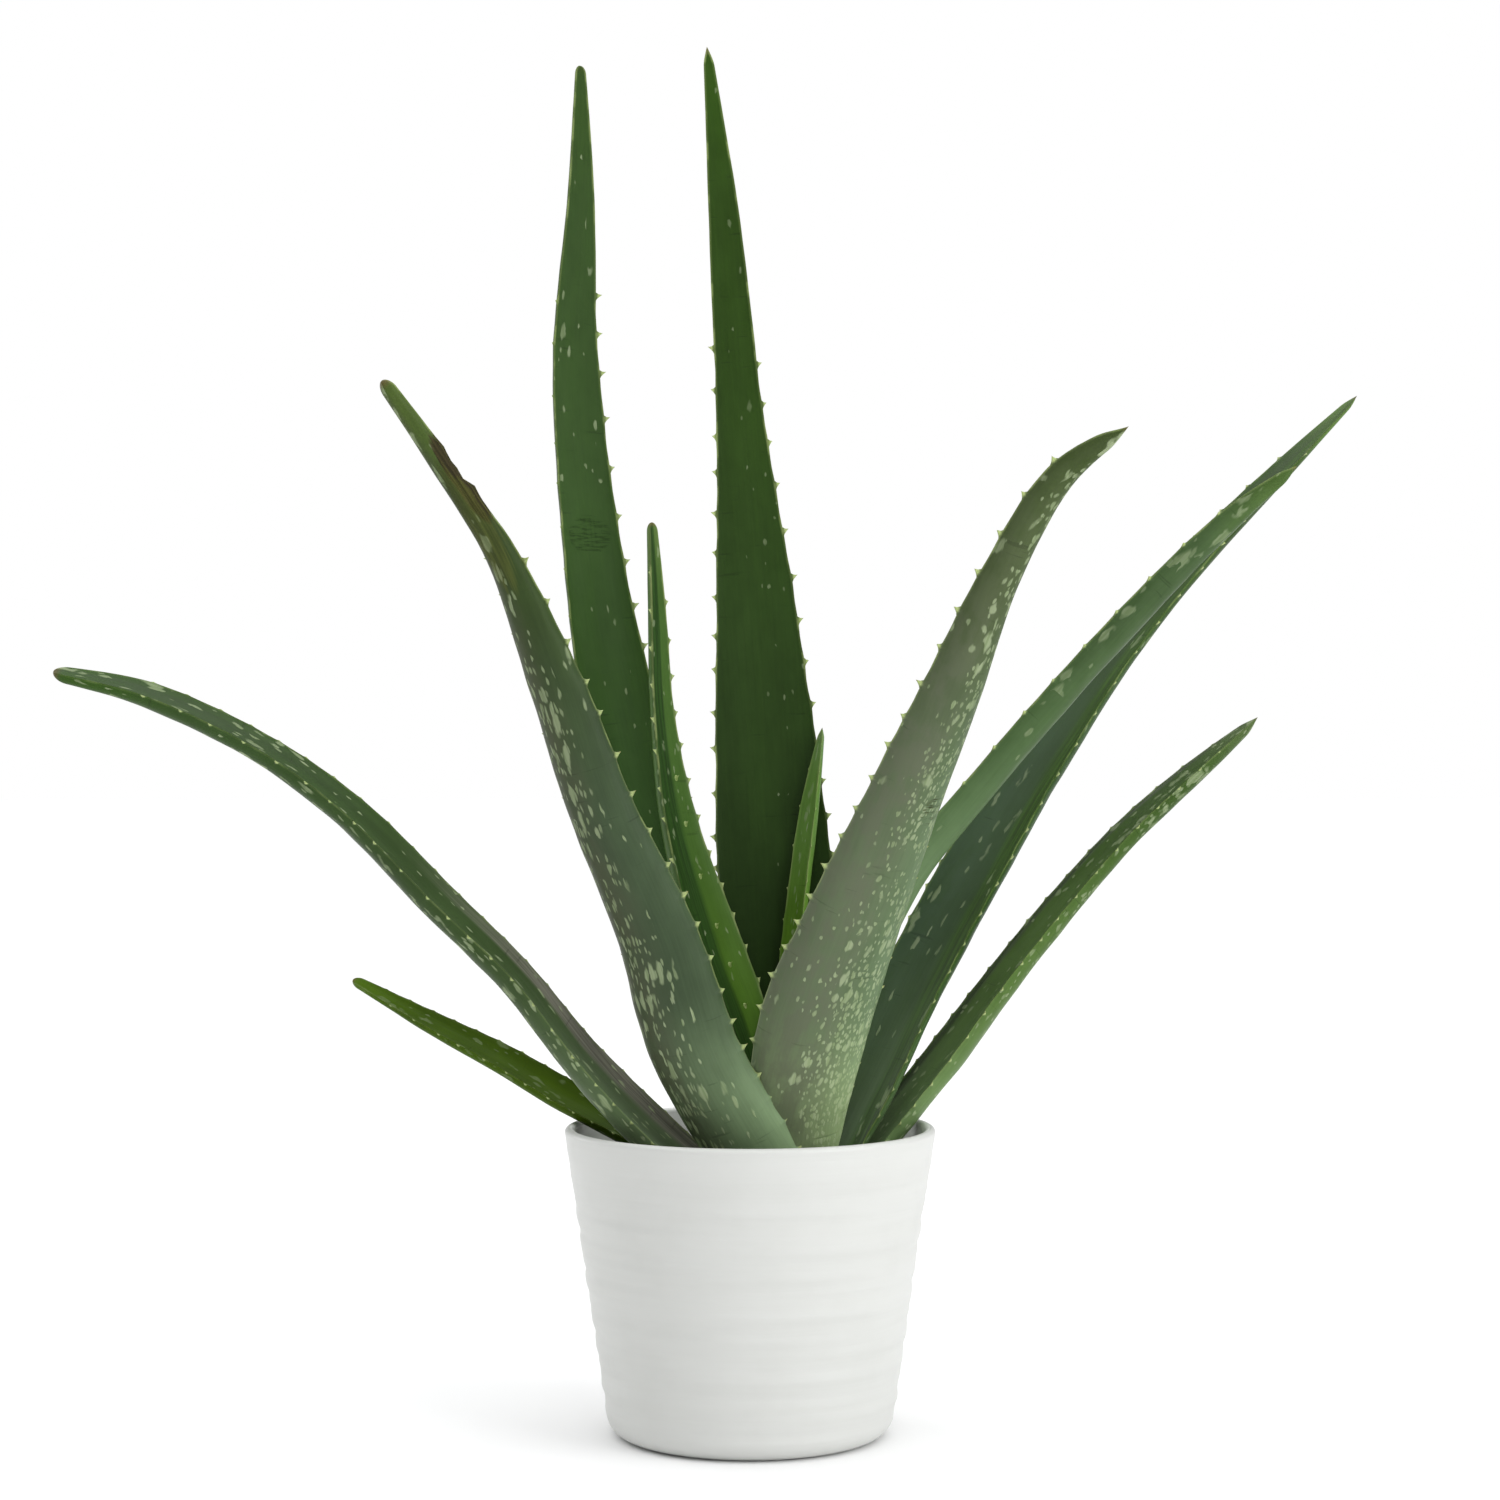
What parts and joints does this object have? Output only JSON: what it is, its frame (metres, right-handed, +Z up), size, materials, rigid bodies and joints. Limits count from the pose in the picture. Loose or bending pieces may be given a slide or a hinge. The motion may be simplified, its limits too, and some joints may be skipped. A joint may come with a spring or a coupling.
{
  "type": "potted aloe plant",
  "caption": "Aloe plant with thick, pointed, toothed leaves in a loose rosette, growing in soil in a round tapered ceramic pot; stands on its own flat base.",
  "frame": {"origin": "centre of the pot's flat underside, where it stands", "axes": "+Z up; -Y towards the front, the side the two nearest leaves lean to; +X to the right seen from the front"},
  "size_m": [0.4625, 0.224, 0.494],
  "materials": {
    "pot": "off-white satin ceramic with faint throwing rings",
    "soil": "dark, rough, loose bark and peat potting mix",
    "stem": "matte, pale green-brown, fibrous",
    "heart_leaf": "satin mid green skin, a few pale flecks, darker at the tip",
    "inner_left_leaf": "satin lime green at the foot turning mid green, a row of pale prickles",
    "tall_back_leaf": "satin dark green skin, almost no flecks",
    "tall_left_leaf": "satin mid green skin, few flecks, a small dry scar",
    "middle_right_leaf": "satin fresh green skin with a waxy bloom and a few flecks",
    "front_right_leaf": "strong grey waxy bloom over light green, dense pale flecks on one side",
    "long_right_leaf": "dark blue-green skin, sparse long pale flecks",
    "front_left_leaf": "grey-green waxy skin, dense pale flecks, a brown dry patch high on one edge",
    "low_right_leaf": "satin green skin, pale flecks that crowd towards the tip",
    "long_left_leaf": "satin green skin with a grey band along the top and pale flecks",
    "short_left_leaf": "satin yellow-green skin, faint flecks"
  },
  "bodies": {
    "root": {"pot": "pot", "soil": "soil", "stem": "stem", "heart_leaf": "heart_leaf", "inner_left_leaf": "inner_left_leaf", "tall_back_leaf": "tall_back_leaf", "tall_left_leaf": "tall_left_leaf", "middle_right_leaf": "middle_right_leaf", "front_right_leaf": "front_right_leaf", "long_right_leaf": "long_right_leaf", "front_left_leaf": "front_left_leaf", "low_right_leaf": "low_right_leaf", "long_left_leaf": "long_left_leaf", "short_left_leaf": "short_left_leaf"}
  },
  "joints": []
}
